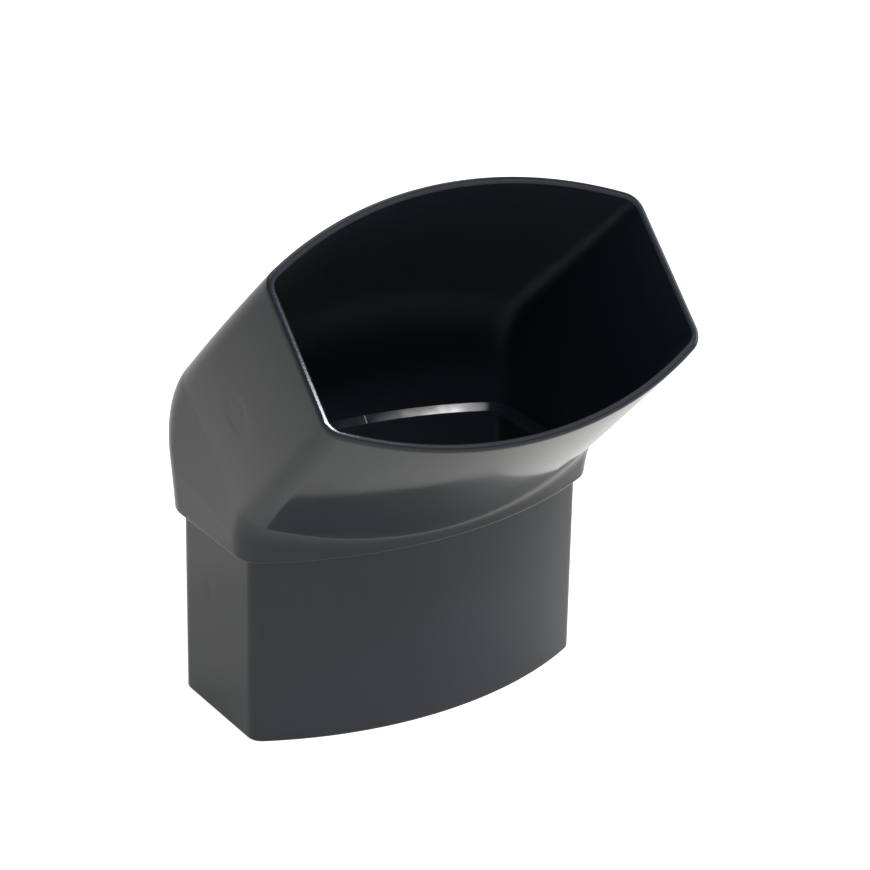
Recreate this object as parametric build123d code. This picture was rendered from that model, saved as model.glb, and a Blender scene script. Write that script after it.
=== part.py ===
from build123d import *
import math
import os

# A 45 degree bend for a flat-sided oval rainwater downpipe, moulded in one piece.
# The plain spigot points down and goes into the pipe or fitting below. The socket
# leans forward, towards -Y, and takes the pipe above.
# X runs across the flat sides. The origin is the middle of the spigot's open end.

# Spigot
SPIGOT_WIDTH = 90.0
SPIGOT_DEPTH = 54.7
SPIGOT_BULGE = 11.35        # rise of the front and back arcs over their chord
SPIGOT_CORNER = 4.0
SPIGOT_LENGTH = 47.3        # open end to shoulder
SPIGOT_CHAMFER = 0.4
WALL = 1.8

# Shoulder, where the outside steps out to the socket's size
SHOULDER_STEP = 2.65
SHOULDER_CORNER = 8.4
SHOULDER_ROUND = 0.5

# Bend: the lines of the front and back walls meet at these corners of the mitre
BEND_ANGLE = 45.0
INNER_MITRE = (-30.1, 50.4)     # y, z in front
OUTER_MITRE = (32.1, 80.8)      # y, z at the back
INNER_RADIUS = 3.0
OUTER_RADIUS = 36.0
FAN_STEPS = 6
FAN_START_WIDTH = 96.4
FAN_END_WIDTH = 97.6
FAN_START_CORNER = 9.0
FAN_END_CORNER = 8.0

# Socket
MOUTH_CENTRE = (-42.6, 108.6)   # y, z
MOUTH_WIDTH = 99.0
MOUTH_DEPTH = 62.9
MOUTH_BULGE = 13.1
MOUTH_CORNER = 5.6
LAND_LENGTH = 14.0              # straight lead of the socket behind its rim
LAND_SWELL = 0.5                # how much wider the socket is behind that lead
LAND_CORNER = 6.1
RIM_ROUND = 0.9
RIM_CHAMFER = 0.4

# Ledge that stops the upper pipe, above the spigot's bore
LEDGE_HEIGHT = 51.0
LEDGE_BEVEL_RISE = 1.6
LEDGE_BEVEL_WIDTH = 1.4

OVERCUT = 1.0


def outline(at, width, depth, bulge, corner):
    """Flat sides across X, an arc in front and at the back, and four rounded corners."""
    half_width = width / 2
    half_depth = depth / 2
    side = half_depth - bulge
    with BuildSketch(at) as sketch:
        with BuildLine():
            ThreePointArc((-half_width, -side), (0, -half_depth), (half_width, -side))
            Line((half_width, -side), (half_width, side))
            ThreePointArc((half_width, side), (0, half_depth), (-half_width, side))
            Line((-half_width, side), (-half_width, -side))
        make_face()
        fillet(sketch.vertices(), corner)
    return sketch.sketch.faces()[0]


def inset_bulge(width, bulge, inset):
    """Rise of an arc over its chord after the whole outline moves in by inset."""
    half_width = width / 2
    radius = (half_width**2 + bulge**2) / (2 * bulge)
    return radius - inset - math.sqrt((radius - inset) ** 2 - (half_width - inset) ** 2)


def rounded_profile(start, corner, end, radius):
    """A wall's line in the plane X = 0: start, points along the arc, and end."""
    start, corner, end = Vector(*start), Vector(*corner), Vector(*end)
    before = (corner - start).normalized()
    after = (end - corner).normalized()
    turn = math.radians(before.get_angle(after))
    set_back = radius * math.tan(turn / 2)
    arc_start = corner - before * set_back
    centre = arc_start + Vector(-before.Y, before.X) * radius
    arm = arc_start - centre
    arc = [
        centre + arm.rotate(Axis.Z, math.degrees(turn) * step / FAN_STEPS)
        for step in range(FAN_STEPS + 1)
    ]
    lead = end - after * LAND_LENGTH
    return [start] + arc + [lead, end]


def section_plane(front, back):
    """The plane through X and through a point of the front wall and one of the back wall."""
    middle = (front + back) / 2
    across = Vector(0, back.X - front.X, back.Y - front.Y).normalized()
    normal = Vector(1, 0, 0).cross(across)
    return Plane(origin=(0, middle.X, middle.Y), x_dir=(1, 0, 0), z_dir=normal)


def blend(start, end, share):
    return start + (end - start) * share


def station_sizes():
    """Width, bulge and corner radius of the outside at each station from shoulder to mouth."""
    shoulder_width = SPIGOT_WIDTH + 2 * SHOULDER_STEP
    shoulder_bulge = inset_bulge(SPIGOT_WIDTH, SPIGOT_BULGE, -SHOULDER_STEP)
    sizes = [(shoulder_width, shoulder_bulge, SHOULDER_CORNER)]
    for step in range(FAN_STEPS + 1):
        share = step / FAN_STEPS
        sizes.append(
            (
                blend(FAN_START_WIDTH, FAN_END_WIDTH, share),
                blend(shoulder_bulge, MOUTH_BULGE, share),
                blend(FAN_START_CORNER, FAN_END_CORNER, share),
            )
        )
    sizes.append((MOUTH_WIDTH + LAND_SWELL, MOUTH_BULGE, LAND_CORNER))
    sizes.append((MOUTH_WIDTH, MOUTH_BULGE, MOUTH_CORNER))
    return sizes


def stations():
    """Section planes and depths, from the wall lines in front and at the back."""
    lean = math.radians(BEND_ANGLE)
    reach = Vector(math.cos(lean), math.sin(lean)) * (MOUTH_DEPTH / 2)
    mouth = Vector(*MOUTH_CENTRE)
    half_shoulder = SPIGOT_DEPTH / 2 + SHOULDER_STEP
    front = rounded_profile(
        (-half_shoulder, SPIGOT_LENGTH), INNER_MITRE, mouth - reach, INNER_RADIUS
    )
    back = rounded_profile(
        (half_shoulder, SPIGOT_LENGTH), OUTER_MITRE, mouth + reach, OUTER_RADIUS
    )
    return [(section_plane(f, b), (b - f).length) for f, b in zip(front, back)]


def mouth_axis():
    """The socket's axis, outwards through the middle of the mouth."""
    lean = math.radians(BEND_ANGLE)
    return Axis((0, *MOUTH_CENTRE), (0, -math.sin(lean), math.cos(lean)))


def shell_solid(inset):
    """Shoulder to mouth as a solid, with every outline moved in by inset."""
    faces = []
    for (plane, depth), (width, bulge, corner) in zip(stations(), station_sizes()):
        faces.append(
            outline(
                plane,
                width - 2 * inset,
                depth - 2 * inset,
                inset_bulge(width, bulge, inset),
                corner - inset,
            )
        )
    first_fan = 1
    last_fan = FAN_STEPS + 1
    collar = loft([faces[0], faces[first_fan]], ruled=True)
    fan = loft(faces[first_fan : last_fan + 1])
    socket = loft(faces[last_fan:])
    return collar + fan + socket


def socket_outside():
    """Shoulder to mouth, with a rounded rim and a softened lower edge to the shoulder."""
    solid = shell_solid(0)
    mouth = solid.faces().sort_by(mouth_axis())[-1]
    solid = fillet(mouth.edges(), RIM_ROUND)
    shoulder = solid.faces().sort_by(Axis.Z)[0]
    return fillet(shoulder.edges(), SHOULDER_ROUND)


def spigot_outside():
    face = outline(Plane.XY, SPIGOT_WIDTH, SPIGOT_DEPTH, SPIGOT_BULGE, SPIGOT_CORNER)
    solid = extrude(face, SPIGOT_LENGTH)
    end = solid.faces().sort_by(Axis.Z)[0]
    return chamfer(end.edges(), SPIGOT_CHAMFER)


def bore():
    """The water way through the spigot, from below its end up to the ledge."""
    face = outline(
        Plane.XY.offset(-OVERCUT),
        SPIGOT_WIDTH - 2 * WALL,
        SPIGOT_DEPTH - 2 * WALL,
        inset_bulge(SPIGOT_WIDTH, SPIGOT_BULGE, WALL),
        SPIGOT_CORNER - WALL,
    )
    return extrude(face, LEDGE_HEIGHT + OVERCUT)


def socket_space():
    """The hollow of the socket down to the ledge, with a bevel round the ledge."""
    mouth_plane, mouth_depth = stations()[-1]
    width, bulge, corner = station_sizes()[-1]
    mouth = outline(
        mouth_plane,
        width - 2 * WALL,
        mouth_depth - 2 * WALL,
        inset_bulge(width, bulge, WALL),
        corner - WALL,
    )
    space = shell_solid(WALL) + extrude(mouth, OVERCUT)
    size = 2 * MOUTH_WIDTH
    below = Box(size, size, size, align=(Align.CENTER, Align.CENTER, Align.MAX))
    space = space - Pos(0, 0, LEDGE_HEIGHT) * below
    floor = space.faces().sort_by(Axis.Z)[0]
    return chamfer(floor.edges(), LEDGE_BEVEL_WIDTH, LEDGE_BEVEL_RISE, reference=floor)


def make_body():
    body = spigot_outside() + socket_outside() - bore() - socket_space()
    rim = body.faces().filter_by(GeomType.PLANE).sort_by(mouth_axis())[-1]
    return chamfer(rim.inner_wires()[0].edges(), RIM_CHAMFER)


if __name__ == "__main__":
    os.makedirs("parts", exist_ok=True)
    body = make_body()
    export_step(body, "parts/bend_body.step")
    print("volume", body.volume, "faces", len(body.faces()), "valid", body.is_valid)
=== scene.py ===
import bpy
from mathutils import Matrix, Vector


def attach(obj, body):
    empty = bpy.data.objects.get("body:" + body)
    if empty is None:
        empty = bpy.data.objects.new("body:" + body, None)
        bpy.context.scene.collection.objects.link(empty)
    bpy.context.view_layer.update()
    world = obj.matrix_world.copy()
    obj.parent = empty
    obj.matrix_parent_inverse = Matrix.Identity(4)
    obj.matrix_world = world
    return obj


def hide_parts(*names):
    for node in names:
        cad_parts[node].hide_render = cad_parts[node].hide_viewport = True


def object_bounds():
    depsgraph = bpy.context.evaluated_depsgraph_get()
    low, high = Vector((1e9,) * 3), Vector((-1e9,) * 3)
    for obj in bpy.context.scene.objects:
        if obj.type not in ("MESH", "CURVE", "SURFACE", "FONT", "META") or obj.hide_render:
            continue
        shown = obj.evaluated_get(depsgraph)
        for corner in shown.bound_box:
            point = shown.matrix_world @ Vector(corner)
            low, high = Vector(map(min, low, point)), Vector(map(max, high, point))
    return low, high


bl_info = {
    "name": "Downpipe Bend",
    "version": (1, 0, 0),
    "blender": (4, 5, 0),
    "location": "3D View > Sidebar > Bend",
    "description": "Dresses a moulded downpipe bend and sets up its studio",
    "category": "Object",
}

import math

import bpy
import numpy as np
from bpy.props import FloatProperty, FloatVectorProperty, PointerProperty
from mathutils import Matrix, Vector

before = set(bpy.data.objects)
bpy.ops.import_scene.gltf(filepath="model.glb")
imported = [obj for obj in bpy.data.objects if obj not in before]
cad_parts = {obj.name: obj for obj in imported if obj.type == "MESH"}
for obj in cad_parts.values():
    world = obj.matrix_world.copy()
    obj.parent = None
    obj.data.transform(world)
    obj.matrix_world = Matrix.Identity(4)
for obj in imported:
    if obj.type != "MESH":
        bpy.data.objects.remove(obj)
CAD_LOW, CAD_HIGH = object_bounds()

MM = 0.001
BODY = "root"
CAD_NODE = "bend_body"

# The bend's fixed proportions, in mm. Places in the plane X = 0 are (y, z).
SPIGOT_DEPTH = 54.7
SPIGOT_BULGE = 11.35
SPIGOT_CORNER = 4.0
SPIGOT_ROUND = 0.5
SHOULDER_CORNER = 8.4
SHOULDER_ROUND = 0.9
BEND_ANGLE = math.radians(45)
INNER_MITRE = np.array((-30.1, 50.4))
OUTER_MITRE = np.array((32.1, 80.8))
INNER_RADIUS = 3.0
OUTER_RADIUS = 36.0
FAN_WIDTHS = (96.4, 97.6)
FAN_CORNERS = (9.0, 8.0)
MOUTH_CENTRE = np.array((-42.6, 108.6))
MOUTH_DEPTH = 62.9
MOUTH_REACH = np.array((math.cos(BEND_ANGLE), math.sin(BEND_ANGLE))) * MOUTH_DEPTH / 2
MOUTH_BULGE = 13.1
MOUTH_CORNER = 5.6
LAND_LENGTH = 14.0
LAND_SWELL = 0.5
LAND_CORNER = 6.1
RIM_ROUND = 0.9
RIM_CHAMFER = 0.4
LEDGE_HEIGHT = 51.0
LEDGE_BEVEL_RISE = 1.6
LEDGE_BEVEL_WIDTH = 1.3

# How finely the surface is divided: steps in a quarter of the outline, and rings
FLAT_STEPS = 26
CORNER_STEPS = 10
ARC_STEPS = 44
SPIGOT_RINGS = 30
COLLAR_RINGS = 10
FAN_RINGS = 36
SOCKET_RINGS = 70
INSIDE_RINGS = 80
BORE_RINGS = 12
EDGE_RINGS = 7
CHAMFER_RINGS = 2
SPIGOT_FIRST_RING = 2.0     # height in mm
HALVINGS = 40
SHARP_ANGLE = math.radians(32)

# Marks that the mould leaves, on the side at -X: y, z, radius and depth in mm
EJECTOR_MARK = (-17.8, 85.4, 4.6, 0.05)
SPIGOT_DIMPLE = (3.3, 31.7, 1.5, 0.08)

# How softly the ejector's mark ends, the x beyond which each mark reaches the points,
# and the height below which the dimple does, in mm
EJECTOR_EDGE = 0.25
EJECTOR_SIDE = -46.0
DIMPLE_SIDE = -44.6
DIMPLE_TOP = 40.0

# The plastic's finishes, in the order of the mesh's materials
OUTSIDE, LEDGE, INSIDE = range(3)
PVC_IOR = 1.46
CLOUD_TINTS = ((0.92, 0.92, 0.92), (1.08, 1.08, 1.07))

# Noise: its scales are about the number of patches in a metre
CLOUD_SCALE = 28.0
SHEEN_SCALE = 90.0
GRAIN_SCALE = 700.0
POLISH_SCALE = 260.0
STREAK_SCALE = 1400.0
NOISE_DETAIL = 1.0
NOISE_RANGE = (0.2, 0.8)

# How far the roughness goes up and down from its middle
SHEEN_SPREAD = 0.02
POLISH_SPREAD = 0.06
CORE_SPREAD = 0.03

# Tool streaks on the ledge: their turn, and the stretch that draws them out
STREAK_ANGLE = math.radians(35)
STREAK_STRETCH = (1.0, 0.12, 0.12)
STREAK_DETAIL = 3.0

# The mould's parting line across the ledge: its x, half width and height, in mm
LEDGE_LINE = (12.5, 0.3, 0.07)

# The camera's pose, in mm and degrees, with its lens and sensor in mm
CAMERA_TARGET = Vector((14.679, 0.0, 57.882))
CAMERA_DISTANCE = 750.881
CAMERA_AZIMUTH = math.radians(-33.728)
CAMERA_ELEVATION = math.radians(25.046)
CAMERA_ROLL = math.radians(1.161)
CAMERA_LENS = 130.95
SENSOR = 36.0

# What the camera sees, from and to these distances in metres
CLIP_START = 0.01
CLIP_END = 50.0

# The room: heights of a direction, as the sine of its elevation
WALL_TOP = 0.0
CEILING_START = 0.45

# The floor, in metres: its colour, a painted pool of light round the object, dims from the near
# distance to the far one
FLOOR_HALF = 3.0
FLOOR_HEIGHT = -0.02 * MM
FLOOR_NEAR = 0.06
FLOOR_FAR = 0.30
FLOOR_ROUGHNESS = 0.9

# Lamps, in metres: the first two stand at a place and light the bend's middle. The
# others stand at a distance in some direction from the point that mirrors them.
OVERHEAD_PLACE = (0.15, 0.45, 1.1)
OVERHEAD_SIZE = (1.2, 1.2)
SIDE_PLACE = (0.8, -0.25, 0.5)
SIDE_SIZE = (0.5, 0.5)
LEDGE_BACK = Vector((0.035, 0.021, 0.052))
LEDGE_LAMP_DISTANCE = 1.6
KEY_DIRECTION = Vector((0.095, -0.556, 0.826))
KEY_SIZE = (1.12, 0.12)
FILL_DIRECTION = Vector((0.27, -0.535, 0.80))
FILL_SIZE = (0.5, 0.12)
RIM_FRONT = Vector((0.0, -0.055, 0.09))
RIM_DIRECTION = Vector((0.503, -0.422, 0.754))
RIM_DISTANCE = 0.9
RIM_SIZE = (0.4, 0.4)


class BendSizes(bpy.types.PropertyGroup):
    spigot_width: FloatProperty(
        name="Spigot width",
        description="Width of the lower end across its flat sides, in mm",
        default=90.0,
        min=40.0,
    )
    spigot_length: FloatProperty(
        name="Spigot length",
        description="Lower end to shoulder, in mm",
        default=47.3,
        min=10.0,
    )
    shoulder_step: FloatProperty(
        name="Shoulder step",
        description="How far the shoulder stands out from the spigot, in mm",
        default=2.65,
        min=0.5,
    )
    mouth_width: FloatProperty(
        name="Mouth width",
        description="Outside width of the socket at its rim, in mm",
        default=99.0,
        min=40.0,
    )
    wall: FloatProperty(
        name="Wall",
        description="Thickness of the moulded wall, in mm",
        default=1.8,
        min=0.5,
    )


class BendFinish(bpy.types.PropertyGroup):
    colour: FloatVectorProperty(
        name="Colour",
        description="Base colour of the plastic",
        subtype="COLOR",
        size=3,
        default=(0.0230, 0.0285, 0.0395),
        min=0.0,
        max=1.0,
    )
    roughness: FloatProperty(
        name="Roughness",
        description="Middle roughness of the moulded skin",
        subtype="FACTOR",
        default=0.09,
        min=0.0,
        max=1.0,
    )
    ledge_roughness: FloatProperty(
        name="Ledge roughness",
        description="Middle roughness of the ledge inside the socket",
        subtype="FACTOR",
        default=0.14,
        min=0.0,
        max=1.0,
    )
    inside_roughness: FloatProperty(
        name="Inside roughness",
        description="Roughness of the inside, which the core has left more matt",
        subtype="FACTOR",
        default=0.42,
        min=0.0,
        max=1.0,
    )
    streak: FloatProperty(
        name="Streaks",
        description="Depth of the tool marks on the ledge, in mm",
        default=0.004,
        min=0.0,
    )
    grain: FloatProperty(
        name="Grain",
        description="Depth of the fine moulded grain, in mm",
        default=0.0015,
        min=0.0,
    )


class BendStudio(bpy.types.PropertyGroup):
    floor_colour: FloatVectorProperty(
        name="Floor colour",
        description="Colour of the floor",
        subtype="COLOR",
        size=3,
        default=(0.90, 0.888, 0.84),
        min=0.0,
        max=1.0,
    )
    # Painted pool of light: the floor's colour far off, as a share of its colour near the object
    painted_floor_falloff: FloatProperty(
        name="Floor far off (painted pool of light)",
        description="How bright the floor is far off, as a share of its colour near the object",
        subtype="FACTOR",
        default=0.55,
        min=0.0,
        max=1.0,
    )
    floor_lift: FloatProperty(
        name="Floor lift",
        description="Light added to the floor, so that it meets the white background",
        default=0.85,
        min=0.0,
    )
    mirror_share: FloatProperty(
        name="Lift in reflections",
        description="Share of the floor's lift that reflections show",
        subtype="FACTOR",
        default=0.25,
        min=0.0,
        max=1.0,
    )
    ambient: FloatProperty(
        name="Ambient",
        description="Strength of the room's light on the object",
        default=0.3,
        min=0.0,
    )
    wall: FloatProperty(
        name="Wall",
        description="How bright the room's walls look in reflections",
        default=0.95,
        min=0.0,
    )
    ceiling: FloatProperty(
        name="Ceiling",
        description="How bright the room's ceiling looks in reflections",
        default=0.1,
        min=0.0,
    )
    overhead: FloatProperty(
        name="Overhead lamp",
        description="Power of the large lamp above",
        subtype="POWER",
        default=3.5,
        min=0.0,
    )
    side: FloatProperty(
        name="Side lamp",
        description="Power of the lamp on the right",
        subtype="POWER",
        default=2.0,
        min=0.0,
    )
    key: FloatProperty(
        name="Key lamp",
        description="Power of the narrow lamp in front, which the ledge mirrors",
        subtype="POWER",
        default=9.6,
        min=0.0,
    )
    fill: FloatProperty(
        name="Ledge fill lamp",
        description="Power of the lamp that the left of the ledge mirrors",
        subtype="POWER",
        default=1.8,
        min=0.0,
    )
    rim: FloatProperty(
        name="Rim lamp",
        description="Power of the soft lamp that the rim mirrors",
        subtype="POWER",
        default=0.24,
        min=0.0,
    )


def between(start, end, share):
    """The value at a share of the way from start to end."""
    return start + (end - start) * share


def through_three(share, middle_share, start, middle, end):
    """The parabola that is start at share 0, middle at middle_share and end at share 1."""
    first = (middle - start) / middle_share
    second = (end - middle) / (1 - middle_share) - first
    return start + first * share + second * share * (share - middle_share)


def inset_bulge(width, bulge, inset):
    """Rise of an arc over its chord after the whole outline moves in by inset."""
    half = width / 2
    radius = (half**2 + bulge**2) / (2 * bulge)
    return radius - inset - np.sqrt((radius - inset) ** 2 - (half - inset) ** 2)


def outline_steps():
    """Where each column of the surface lies on the outline, once round.

    A quarter runs along half of the flat, round the corner and over half of the arc.
    The other three are its mirror images. Each column has the shares along these three
    pieces, and the signs of its quarter.
    """
    flat = np.linspace(0, 1, FLAT_STEPS, endpoint=False)
    corner = np.linspace(0, 1, CORNER_STEPS, endpoint=False)
    arc = np.linspace(0, 1, ARC_STEPS + 1)
    along_flat = np.concatenate([flat, np.ones(CORNER_STEPS + ARC_STEPS + 1)])
    along_corner = np.concatenate([np.zeros(FLAT_STEPS), corner, np.ones(ARC_STEPS + 1)])
    along_arc = np.concatenate([np.zeros(FLAT_STEPS + CORNER_STEPS), arc])
    quarter = np.stack([along_flat, along_corner, along_arc])
    back = quarter[:, ::-1]
    round_trip = np.concatenate([quarter, back[:, 1:], quarter[:, 1:], back[:, 1:-1]], axis=1)
    size = quarter.shape[1]
    side = np.concatenate([np.ones(size), -np.ones(2 * size - 2), np.ones(size - 2)])
    front = np.concatenate([np.ones(2 * size - 1), -np.ones(2 * size - 3)])
    return round_trip, side, front


STEPS, SIDE_SIGN, DEPTH_SIGN = outline_steps()


def outline(width, depth, bulge, corner):
    """Points (across X, front to back) of a rounded outline, one for each column.

    Two flats stand at half the width. Two arcs with the given rise over their chord
    close the front and the back. A corner of the given radius is tangent to both.
    """
    half = width / 2
    radius = (half**2 + bulge**2) / (2 * bulge)
    arc_centre = depth / 2 - radius
    corner_x = half - corner
    corner_y = arc_centre + np.sqrt((radius - corner) ** 2 - corner_x**2)
    turn = np.arctan2(corner_y - arc_centre, corner_x)
    flat, bend, arc = STEPS
    angle = turn * bend
    sweep = turn + (math.pi / 2 - turn) * arc
    on_arc = arc > 0
    on_flat = bend <= 0
    across = np.where(on_arc, radius * np.cos(sweep), corner_x + corner * np.cos(angle))
    along = np.where(
        on_arc, arc_centre + radius * np.sin(sweep), corner_y + corner * np.sin(angle)
    )
    across = np.where(on_flat, half, across)
    along = np.where(on_flat, corner_y * flat, along)
    return across * SIDE_SIGN, along * DEPTH_SIGN


def wall_line(share, start, corner, end, radius):
    """A wall's line in the plane X = 0, as (y, z), for shares from 0 to 3.

    It is straight from start to the arc up to share 1, goes round the arc that rounds
    the corner up to share 2, and is straight to the end at share 3.
    """
    before = (corner - start) / np.linalg.norm(corner - start)
    after = (end - corner) / np.linalg.norm(end - corner)
    turn = math.acos(float(before @ after))
    set_back = radius * math.tan(turn / 2)
    normal = np.array((-before[1], before[0]))
    centre = corner - before * set_back + normal * radius
    arc_end = corner + after * set_back
    angle = turn * np.clip(share - 1, 0, 1)[..., None]
    straight = between(start, corner - before * set_back, np.clip(share, 0, 1)[..., None])
    bend = centre + radius * (before * np.sin(angle) - normal * np.cos(angle))
    last = between(arc_end, end, np.clip(share - 2, 0, 1)[..., None])
    share = share[..., None]
    return np.where(share <= 1, straight, np.where(share <= 2, bend, last))


def socket_length():
    """Length of the socket's straight front and back walls, on average."""
    front = np.linalg.norm(MOUTH_CENTRE - MOUTH_REACH - INNER_MITRE)
    back = np.linalg.norm(MOUTH_CENTRE + MOUTH_REACH - OUTER_MITRE)
    return (front + back) / 2 - OUTER_RADIUS * math.tan(BEND_ANGLE / 2) / 2


def upper_wall(sizes, share, inset):
    """Points of the shoulder, bend and socket, at shares from 0 (shoulder) to 3 (mouth).

    Each share has a section plane across X through one point of the front wall's line
    and one of the back wall's. The outline in it, moved in by inset, gives the points.
    Width, bulge and corner run evenly through the bend, and on a parabola up the socket.
    """
    share, inset = np.broadcast_arrays(np.atleast_2d(share), np.atleast_2d(inset))
    half_shoulder = SPIGOT_DEPTH / 2 + sizes.shoulder_step
    front = wall_line(
        share,
        np.array((-half_shoulder, sizes.spigot_length)),
        INNER_MITRE,
        MOUTH_CENTRE - MOUTH_REACH,
        INNER_RADIUS,
    )
    back = wall_line(
        share,
        np.array((half_shoulder, sizes.spigot_length)),
        OUTER_MITRE,
        MOUTH_CENTRE + MOUTH_REACH,
        OUTER_RADIUS,
    )
    shoulder_width = sizes.spigot_width + 2 * sizes.shoulder_step
    shoulder_bulge = inset_bulge(sizes.spigot_width, SPIGOT_BULGE, -sizes.shoulder_step)
    collar = np.clip(share, 0, 1)
    fan = np.clip(share - 1, 0, 1)
    up = np.clip(share - 2, 0, 1)
    land = 1 - LAND_LENGTH / socket_length()
    swollen = sizes.mouth_width + LAND_SWELL
    width = np.where(
        share <= 1,
        between(shoulder_width, FAN_WIDTHS[0], collar),
        np.where(
            share <= 2,
            between(*FAN_WIDTHS, fan),
            through_three(up, land, FAN_WIDTHS[1], swollen, sizes.mouth_width),
        ),
    )
    bulge = between(shoulder_bulge, MOUTH_BULGE, fan)
    corner = np.where(
        share <= 1,
        between(SHOULDER_CORNER, FAN_CORNERS[0], collar),
        np.where(
            share <= 2,
            between(*FAN_CORNERS, fan),
            through_three(up, land, FAN_CORNERS[1], LAND_CORNER, MOUTH_CORNER),
        ),
    )
    run = back - front
    depth = np.linalg.norm(run, axis=-1)
    across, along = outline(
        width - 2 * inset,
        depth - 2 * inset,
        inset_bulge(width, bulge, inset),
        corner - inset,
    )
    middle = (front + back) / 2 + along[..., None] * run / depth[..., None]
    return np.stack([across, middle[..., 0], middle[..., 1]], axis=-1)


def spigot_wall(sizes, height, inset):
    """Points of the spigot: its outline, moved in by inset, at each height."""
    height, inset = np.broadcast_arrays(np.atleast_2d(height), np.atleast_2d(inset))
    across, along = outline(
        sizes.spigot_width - 2 * inset,
        SPIGOT_DEPTH - 2 * inset,
        inset_bulge(sizes.spigot_width, SPIGOT_BULGE, inset),
        SPIGOT_CORNER - inset,
    )
    return np.stack([across, along, np.broadcast_to(height, across.shape)], axis=-1)


def share_at_height(sizes, height, inset):
    """For each column, the share at which the wall reaches a height, found by halving."""
    low = np.zeros((1, STEPS.shape[1]))
    high = low + 3
    for _ in range(HALVINGS):
        middle = (low + high) / 2
        below = upper_wall(sizes, middle, inset)[..., 2] < height
        low = np.where(below, middle, low)
        high = np.where(below, high, middle)
    return low


def column(values):
    """One value for each ring, the same all round it."""
    return np.asarray(values, float)[:, None]


def even_rings(count, end=1):
    """Rings that divide the way from 0 to end evenly, without the one at 0."""
    return column(np.linspace(0, end, count + 1)[1:])


def outside_rings(sizes):
    """The outside, from the spigot's open end up to the rim.

    The end and the shoulder's lower edge are quarter rounds. Above the shoulder the
    rings follow the wall by its shares, evenly through the collar, fan and socket.
    """
    angle = column(np.linspace(0, math.pi / 2, EDGE_RINGS))
    end = spigot_wall(
        sizes, SPIGOT_ROUND * (1 - np.cos(angle)), SPIGOT_ROUND * (1 - np.sin(angle))
    )
    heights = np.linspace(SPIGOT_FIRST_RING, sizes.spigot_length, SPIGOT_RINGS)
    spigot = spigot_wall(sizes, column(heights), 0)
    top = share_at_height(sizes, sizes.spigot_length + SHOULDER_ROUND, 0)
    edge = upper_wall(
        sizes, top * (1 - np.cos(angle)), SHOULDER_ROUND * (1 - np.sin(angle))
    )
    collar = upper_wall(sizes, between(top, 1, even_rings(COLLAR_RINGS)), 0)
    fan = upper_wall(sizes, 1 + even_rings(FAN_RINGS), 0)
    last = 1 - RIM_ROUND / socket_length()
    socket = upper_wall(sizes, 2 + even_rings(SOCKET_RINGS, last), 0)
    return [end, spigot, edge, collar, fan, socket]


def rim_rings(sizes):
    """The rounded outer edge of the mouth, its flat face and the inner chamfer."""
    angle = column(np.linspace(0, math.pi / 2, EDGE_RINGS)[1:])
    drop = RIM_ROUND * (1 - np.sin(angle)) / socket_length()
    rounded = upper_wall(sizes, 3 - drop, RIM_ROUND * (1 - np.cos(angle)))
    chamfer = upper_wall(
        sizes,
        column((3, 3 - RIM_CHAMFER / socket_length())),
        column((sizes.wall - RIM_CHAMFER, sizes.wall)),
    )
    return [rounded, chamfer]


def inside_rings(sizes):
    """The inside: down the socket, over the ledge's bevel and face, and down the bore."""
    bevel_top = share_at_height(sizes, LEDGE_HEIGHT + LEDGE_BEVEL_RISE, sizes.wall)
    bevel_foot = share_at_height(sizes, LEDGE_HEIGHT, sizes.wall + LEDGE_BEVEL_WIDTH)
    start = 3 - RIM_CHAMFER / socket_length()
    socket = upper_wall(sizes, between(start, bevel_top, even_rings(INSIDE_RINGS)), sizes.wall)
    foot = upper_wall(sizes, bevel_foot, sizes.wall + LEDGE_BEVEL_WIDTH)
    bore = spigot_wall(sizes, column(np.linspace(LEDGE_HEIGHT, 0, BORE_RINGS)), sizes.wall)
    return [socket, foot, bore]


def press_marks(points):
    """Presses the mould's marks into the wall at -X.

    The ejector's mark is a disc whose depth ends in a soft step (a logistic curve of
    the distance from its middle). The dimple's depth falls off on a bell curve.
    """
    y, z, radius, depth = EJECTOR_MARK
    away = np.hypot(points[..., 1] - y, points[..., 2] - z)
    disc = depth / (1 + np.exp((away - radius) / EJECTOR_EDGE))
    points[..., 0] += np.where(points[..., 0] < EJECTOR_SIDE, disc, 0)
    y, z, radius, depth = SPIGOT_DIMPLE
    away = np.hypot(points[..., 1] - y, points[..., 2] - z)
    on_spigot = (points[..., 0] < DIMPLE_SIDE) & (points[..., 2] < DIMPLE_TOP)
    points[..., 0] += np.where(on_spigot, depth * np.exp(-((away / radius) ** 2)), 0)
    return points


def surface_mesh(name, rings, inside_rows, ledge_rows):
    """A closed mesh from rings of points: each ring joins the next, and the last the first.

    The faces that start at the ledge's rows take the ledge's finish, and those that
    start at the inside's other rows take the inside's. Each pair of rows is a first one
    and the one after the last.
    """
    points = np.concatenate(rings) * MM
    count, columns = points.shape[:2]
    index = np.arange(count * columns).reshape(count, columns)
    up = np.roll(index, -1, axis=0)
    faces = np.stack([index, np.roll(index, -1, axis=1), np.roll(up, -1, axis=1), up], axis=-1)
    mesh = bpy.data.meshes.new(name)
    mesh.from_pydata(points.reshape(-1, 3).tolist(), [], faces.reshape(-1, 4).tolist())
    rows = np.repeat(np.arange(count), columns)
    inside = (rows >= inside_rows[0]) & (rows < inside_rows[1])
    on_ledge = (rows >= ledge_rows[0]) & (rows < ledge_rows[1])
    finish = np.where(on_ledge, LEDGE, np.where(inside, INSIDE, OUTSIDE))
    mesh.polygons.foreach_set("material_index", finish.astype(np.int32))
    mesh.shade_smooth()
    mesh.set_sharp_from_angle(angle=SHARP_ANGLE)
    mesh.update()
    return mesh


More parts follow.
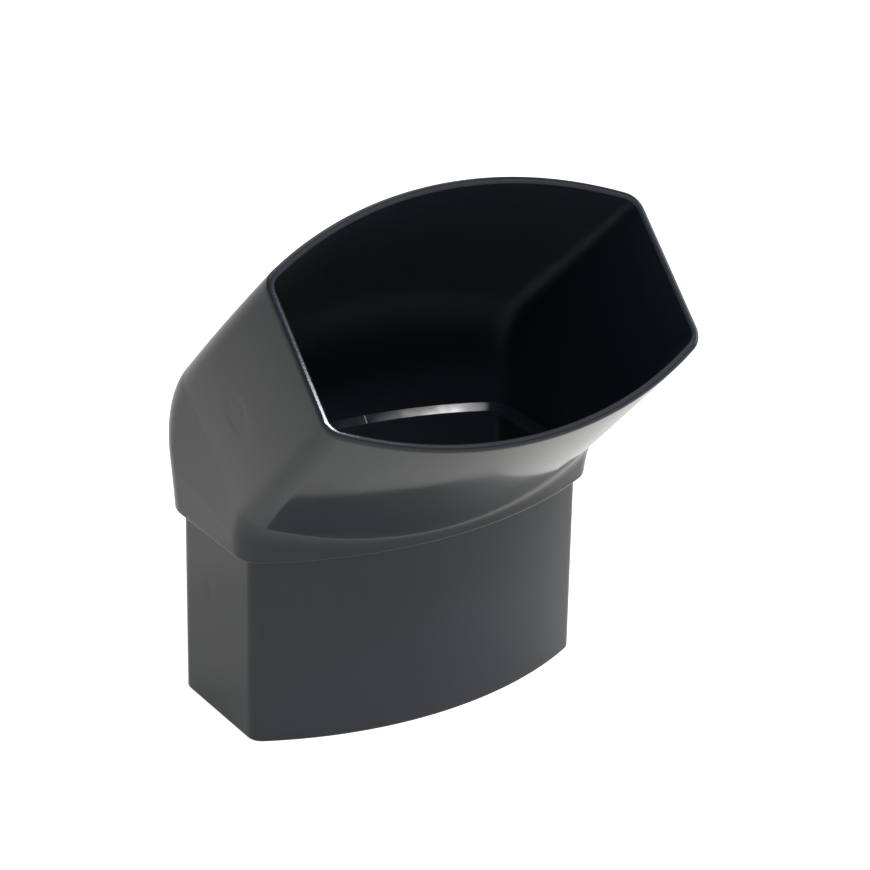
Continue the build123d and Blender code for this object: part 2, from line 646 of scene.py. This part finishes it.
def node(tree, kind, label, **values):
    """A new node with a label and the given settings."""
    made = tree.nodes.new(kind)
    made.label = label
    for key, value in values.items():
        setattr(made, key, value)
    return made


def map_range(tree, label, value, given, wanted=(0.0, 1.0), kind="LINEAR"):
    """Maps a value from the given range to the wanted one, and holds it at the ends."""
    made = node(tree, "ShaderNodeMapRange", label, interpolation_type=kind)
    for name, number in zip(("From Min", "From Max", "To Min", "To Max"), (*given, *wanted)):
        made.inputs[name].default_value = number
    tree.links.new(value, made.inputs["Value"])
    return made


def new_material(name):
    """A material of nodes, with its tree and its shader."""
    material = bpy.data.materials.new(name)
    material.use_nodes = True
    tree = material.node_tree
    return material, tree, tree.nodes["Principled BSDF"]


def grain_group():
    """Node group: a fine noise of the given scale, spread between a low and a high value."""
    group = bpy.data.node_groups.new("Moulded variation", "ShaderNodeTree")
    face = group.interface
    face.new_socket("Scale", in_out="INPUT", socket_type="NodeSocketFloat")
    face.new_socket("Low", in_out="INPUT", socket_type="NodeSocketFloat")
    face.new_socket("High", in_out="INPUT", socket_type="NodeSocketFloat")
    face.new_socket("Value", in_out="OUTPUT", socket_type="NodeSocketFloat")
    given = node(group, "NodeGroupInput", "Inputs")
    place = node(group, "ShaderNodeTexCoord", "Place on the bend")
    noise = node(group, "ShaderNodeTexNoise", "Noise")
    noise.inputs["Detail"].default_value = NOISE_DETAIL
    spread = map_range(group, "Spread", noise.outputs["Fac"], NOISE_RANGE, kind="SMOOTHSTEP")
    out = node(group, "NodeGroupOutput", "Output")
    link = group.links.new
    link(place.outputs["Object"], noise.inputs["Vector"])
    link(given.outputs["Scale"], noise.inputs["Scale"])
    link(given.outputs["Low"], spread.inputs["To Min"])
    link(given.outputs["High"], spread.inputs["To Max"])
    link(spread.outputs["Result"], out.inputs["Value"])
    return group


def variation(tree, group, label, scale, low=0.0, high=1.0):
    """The group's noise in a material, between a low and a high value."""
    placed = node(tree, "ShaderNodeGroup", label, node_tree=group)
    placed.inputs["Scale"].default_value = scale
    placed.inputs["Low"].default_value = low
    placed.inputs["High"].default_value = high
    return placed.outputs["Value"]


def pvc_material(name, group, label, scale, roughness, spread):
    """The start of each finish of the PVC, with a roughness that wanders round its middle."""
    material, tree, shader = new_material(name)
    shader.inputs["IOR"].default_value = PVC_IOR
    sheen = variation(tree, group, label, scale, roughness - spread, roughness + spread)
    tree.links.new(sheen, shader.inputs["Roughness"])
    return material, tree, shader


def add_relief(tree, shader, label, height, distance):
    """Tilts the shading as a relief would: a height of 1 is the given distance in metres."""
    bump = node(tree, "ShaderNodeBump", label)
    bump.inputs["Strength"].default_value = 1.0
    bump.inputs["Distance"].default_value = distance
    tree.links.new(height, bump.inputs["Height"])
    tree.links.new(bump.outputs["Normal"], shader.inputs["Normal"])


def plastic_material(finish, group):
    """Glossy PVC, coloured through, with faint flow clouds, uneven sheen and a fine grain."""
    material, tree, shader = pvc_material(
        "Dark grey PVC", group, "Sheen variation", SHEEN_SCALE, finish.roughness, SHEEN_SPREAD
    )
    tint = node(tree, "ShaderNodeMix", "Colour clouds", data_type="RGBA")
    for name, shares in zip("AB", CLOUD_TINTS):
        tinted = [value * share for value, share in zip(finish.colour, shares)]
        tint.inputs[name].default_value = (*tinted, 1)
    clouds = variation(tree, group, "Flow clouds", CLOUD_SCALE)
    tree.links.new(clouds, tint.inputs["Factor"])
    tree.links.new(tint.outputs["Result"], shader.inputs["Base Color"])
    grain = variation(tree, group, "Grain height", GRAIN_SCALE)
    add_relief(tree, shader, "Grain", grain, finish.grain * MM)
    return material


def ledge_material(finish, group):
    """The same PVC where the core's end face has pressed it, with its marks as relief.

    The tool streaks are a noise drawn out along their turn. The parting line is a ridge
    that falls off smoothly with the distance from its x.
    """
    material, tree, shader = pvc_material(
        "Ledge with tool marks",
        group,
        "Uneven polish",
        POLISH_SCALE,
        finish.ledge_roughness,
        POLISH_SPREAD,
    )
    shader.inputs["Base Color"].default_value = (*finish.colour, 1)
    link = tree.links.new
    place = node(tree, "ShaderNodeTexCoord", "Place on the bend")
    turn = node(tree, "ShaderNodeMapping", "Along the streaks")
    turn.inputs["Rotation"].default_value = (0, 0, STREAK_ANGLE)
    turn.inputs["Scale"].default_value = STREAK_STRETCH
    streaks = node(tree, "ShaderNodeTexNoise", "Tool streaks")
    streaks.inputs["Scale"].default_value = STREAK_SCALE
    streaks.inputs["Detail"].default_value = STREAK_DETAIL
    depth = node(tree, "ShaderNodeMath", "Streak depth", operation="MULTIPLY")
    depth.inputs[1].default_value = finish.streak
    link(place.outputs["Object"], turn.inputs["Vector"])
    link(turn.outputs["Vector"], streaks.inputs["Vector"])
    link(streaks.outputs["Fac"], depth.inputs[0])
    x, half_width, rise = LEDGE_LINE
    split = node(tree, "ShaderNodeSeparateXYZ", "Across the ledge")
    away = node(tree, "ShaderNodeMath", "Side of the line", operation="SUBTRACT")
    away.inputs[1].default_value = x * MM
    size = node(tree, "ShaderNodeMath", "Distance from the line", operation="ABSOLUTE")
    link(place.outputs["Object"], split.inputs["Vector"])
    link(split.outputs["X"], away.inputs[0])
    link(away.outputs["Value"], size.inputs[0])
    ridge = map_range(
        tree,
        "Line's ridge",
        size.outputs["Value"],
        (0.0, half_width * MM),
        (rise, 0.0),
        kind="SMOOTHSTEP",
    )
    height = node(tree, "ShaderNodeMath", "Height in mm", operation="ADD")
    link(depth.outputs["Value"], height.inputs[0])
    link(ridge.outputs["Result"], height.inputs[1])
    add_relief(tree, shader, "Ledge relief", height.outputs["Value"], MM)
    return material


def inside_material(finish, group):
    """The same PVC on the inside, which the core leaves more matt than the outside."""
    material, _, shader = pvc_material(
        "Inside of the bend",
        group,
        "Core finish",
        SHEEN_SCALE,
        finish.inside_roughness,
        CORE_SPREAD,
    )
    shader.inputs["Base Color"].default_value = (*finish.colour, 1)
    return material


class BEND_OT_body(bpy.types.Operator):
    """Builds the bend's moulded body as one fine closed surface"""

    bl_idname = "bend.body"
    bl_label = "Moulded Body"

    def execute(self, context):
        sizes = context.scene.bend_sizes
        rings = outside_rings(sizes) + rim_rings(sizes) + inside_rings(sizes)
        count = sum(len(ring) for ring in rings)
        bore_start = count - BORE_RINGS
        bevel_foot = bore_start - 1
        chamfer_start = bevel_foot - INSIDE_RINGS - CHAMFER_RINGS
        mesh = surface_mesh(
            "bend",
            [press_marks(ring) for ring in rings],
            (chamfer_start, count - 1),
            (bevel_foot - 1, bore_start),
        )
        finish = context.scene.bend_finish
        group = grain_group()
        mesh.materials.append(plastic_material(finish, group))
        mesh.materials.append(ledge_material(finish, group))
        mesh.materials.append(inside_material(finish, group))
        bend = bpy.data.objects.new("bend", mesh)
        context.scene.collection.objects.link(bend)
        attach(bend, BODY)
        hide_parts(CAD_NODE)
        return {"FINISHED"}


def area_lamp(name, place, target, size, power):
    """An oval lamp at a place, turned towards its target."""
    lamp = bpy.data.lights.new(name, "AREA")
    lamp.shape = "ELLIPSE"
    lamp.size, lamp.size_y = size
    lamp.energy = power
    placed = bpy.data.objects.new(name, lamp)
    placed.location = place
    placed.rotation_euler = (Vector(target) - Vector(place)).to_track_quat("-Z", "Y").to_euler()
    bpy.context.scene.collection.objects.link(placed)


def mirrored_lamp(name, mirror, direction, distance, size, power):
    """An oval lamp at a distance in some direction from the point that mirrors it."""
    area_lamp(name, mirror + direction.normalized() * distance, mirror, size, power)


def mirror_rays(tree, path):
    """1 for glossy and transmission rays, and 0 for all others."""
    made = node(tree, "ShaderNodeMath", "Glossy or transmission", operation="MAXIMUM")
    tree.links.new(path.outputs["Is Glossy Ray"], made.inputs[0])
    tree.links.new(path.outputs["Is Transmission Ray"], made.inputs[1])
    return made.outputs["Value"]


def room_light(studio):
    """White background for the camera, and an even, dimmer light for the object.

    Reflections show a nearly white wall low down, which falls off to a dim ceiling.
    """
    world = bpy.data.worlds.new("Studio room")
    world.use_nodes = True
    bpy.context.scene.world = world
    tree = world.node_tree
    link = tree.links.new
    background = tree.nodes["Background"]
    background.inputs["Color"].default_value = (1, 1, 1, 1)
    path = node(tree, "ShaderNodeLightPath", "Ray kinds")
    place = node(tree, "ShaderNodeTexCoord", "Direction")
    split = node(tree, "ShaderNodeSeparateXYZ", "Height of the direction")
    link(place.outputs["Generated"], split.inputs["Vector"])
    ceiling = map_range(
        tree,
        "White wall to ceiling",
        split.outputs["Z"],
        (WALL_TOP, CEILING_START),
        (studio.wall, studio.ceiling),
    )
    room = node(tree, "ShaderNodeMix", "Ambient or reflected room", data_type="FLOAT")
    room.inputs["A"].default_value = studio.ambient
    link(mirror_rays(tree, path), room.inputs["Factor"])
    link(ceiling.outputs["Result"], room.inputs["B"])
    white = node(tree, "ShaderNodeMix", "White for the camera", data_type="FLOAT")
    white.inputs["B"].default_value = 1.0
    link(path.outputs["Is Camera Ray"], white.inputs["Factor"])
    link(room.outputs["Result"], white.inputs["A"])
    link(white.outputs["Result"], background.inputs["Strength"])


def floor_material(studio):
    """Matt pale floor with a painted pool of light: its colour dims far off from the object. It
    is lifted to white for the camera.

    Reflections show a share of the lift, and the light that it scatters shows none.
    """
    material, tree, shader = new_material("Studio floor")
    shader.inputs["Roughness"].default_value = FLOOR_ROUGHNESS
    shader.inputs["Specular IOR Level"].default_value = 0.0
    shader.inputs["Emission Color"].default_value = (1, 1, 1, 1)
    link = tree.links.new
    place = node(tree, "ShaderNodeTexCoord", "Place on the floor")
    away = node(tree, "ShaderNodeVectorMath", "Distance from the object", operation="LENGTH")
    link(place.outputs["Object"], away.inputs[0])
    near_to_far = (FLOOR_NEAR, FLOOR_FAR)
    fall = map_range(tree, "Near to far", away.outputs["Value"], near_to_far)
    # Painted pool of light: the floor's colour is brighter near the object and dims far off
    painted_pool_colour = node(tree, "ShaderNodeMix", "Floor colour", data_type="RGBA")
    painted_pool_colour.inputs["A"].default_value = (*studio.floor_colour, 1)
    painted_pool_colour.inputs["B"].default_value = (*(c * studio.painted_floor_falloff for c in studio.floor_colour), 1)
    link(fall.outputs["Result"], painted_pool_colour.inputs["Factor"])
    link(painted_pool_colour.outputs["Result"], shader.inputs["Base Color"])
    path = node(tree, "ShaderNodeLightPath", "Ray kinds")
    share = node(tree, "ShaderNodeMath", "Share in reflections", operation="MULTIPLY")
    share.inputs[1].default_value = studio.mirror_share
    seen = node(tree, "ShaderNodeMath", "Or camera", operation="MAXIMUM")
    rise = map_range(
        tree,
        "Lift near to far",
        away.outputs["Value"],
        near_to_far,
        (studio.floor_lift, 1.0),
    )
    lift = node(tree, "ShaderNodeMath", "Lift towards white", operation="MULTIPLY")
    link(mirror_rays(tree, path), share.inputs[0])
    link(share.outputs["Value"], seen.inputs[0])
    link(path.outputs["Is Camera Ray"], seen.inputs[1])
    link(seen.outputs["Value"], lift.inputs[0])
    link(rise.outputs["Result"], lift.inputs[1])
    link(lift.outputs["Value"], shader.inputs["Emission Strength"])
    return material


def place_camera():
    """The camera stands on a line from its target at the azimuth and elevation, and is rolled."""
    flat = Vector((math.sin(CAMERA_AZIMUTH), -math.cos(CAMERA_AZIMUTH), 0))
    back = flat * math.cos(CAMERA_ELEVATION) + Vector((0, 0, math.sin(CAMERA_ELEVATION)))
    right = Vector((math.cos(CAMERA_AZIMUTH), math.sin(CAMERA_AZIMUTH), 0))
    up = back.cross(right)
    rolled_right = right * math.cos(CAMERA_ROLL) + up * math.sin(CAMERA_ROLL)
    rolled_up = up * math.cos(CAMERA_ROLL) - right * math.sin(CAMERA_ROLL)
    data = bpy.data.cameras.new("Camera")
    data.sensor_width = SENSOR
    data.lens = CAMERA_LENS
    data.clip_start = CLIP_START
    data.clip_end = CLIP_END
    camera = bpy.data.objects.new("Camera", data)
    turn = Matrix((rolled_right, rolled_up, back)).transposed().to_4x4()
    camera.matrix_world = Matrix.Translation((CAMERA_TARGET + back * CAMERA_DISTANCE) * MM) @ turn
    bpy.context.scene.collection.objects.link(camera)
    bpy.context.scene.camera = camera


class BEND_OT_stage(bpy.types.Operator):
    """Sets up the floor, the lamps, the room light and the camera"""

    bl_idname = "bend.stage"
    bl_label = "Stage"

    def execute(self, context):
        studio = context.scene.bend_studio
        mesh = bpy.data.meshes.new("floor")
        signs = [(-1, -1), (1, -1), (1, 1), (-1, 1)]
        corners = [(x * FLOOR_HALF, y * FLOOR_HALF, FLOOR_HEIGHT) for x, y in signs]
        mesh.from_pydata(corners, [], [(0, 1, 2, 3)])
        mesh.materials.append(floor_material(studio))
        floor = bpy.data.objects.new("floor", mesh)
        context.scene.collection.objects.link(floor)
        centre = (CAD_LOW + CAD_HIGH) / 2
        area_lamp("Overhead lamp", OVERHEAD_PLACE, centre, OVERHEAD_SIZE, studio.overhead)
        area_lamp("Side lamp", SIDE_PLACE, centre, SIDE_SIZE, studio.side)
        for name, direction, size, power in (
            ("Key lamp", KEY_DIRECTION, KEY_SIZE, studio.key),
            ("Ledge fill lamp", FILL_DIRECTION, FILL_SIZE, studio.fill),
        ):
            mirrored_lamp(name, LEDGE_BACK, direction, LEDGE_LAMP_DISTANCE, size, power)
        mirrored_lamp("Rim lamp", RIM_FRONT, RIM_DIRECTION, RIM_DISTANCE, RIM_SIZE, studio.rim)
        room_light(studio)
        place_camera()
        context.scene.view_settings.view_transform = "Standard"
        return {"FINISHED"}


class BEND_PT_panel(bpy.types.Panel):
    """Lists the bend's settings and steps"""

    bl_label = "Downpipe Bend"
    bl_idname = "BEND_PT_panel"
    bl_space_type = "VIEW_3D"
    bl_region_type = "UI"
    bl_category = "Bend"

    def draw(self, context):
        scene = context.scene
        for owner in (scene.bend_sizes, scene.bend_finish, scene.bend_studio):
            box = self.layout.box()
            for name in owner.bl_rna.properties.keys():
                if name not in ("rna_type", "name"):
                    box.prop(owner, name)
        self.layout.operator("bend.body")
        self.layout.operator("bend.stage")


CLASSES = (BendSizes, BendFinish, BendStudio, BEND_OT_body, BEND_OT_stage, BEND_PT_panel)


def register():
    for item in CLASSES:
        bpy.utils.register_class(item)
    bpy.types.Scene.bend_sizes = PointerProperty(type=BendSizes)
    bpy.types.Scene.bend_finish = PointerProperty(type=BendFinish)
    bpy.types.Scene.bend_studio = PointerProperty(type=BendStudio)


def unregister():
    del bpy.types.Scene.bend_studio
    del bpy.types.Scene.bend_finish
    del bpy.types.Scene.bend_sizes
    for item in reversed(CLASSES):
        bpy.utils.unregister_class(item)


def main():
    register()
    bpy.ops.bend.body()
    bpy.ops.bend.stage()


if __name__ == "__main__":
    main()
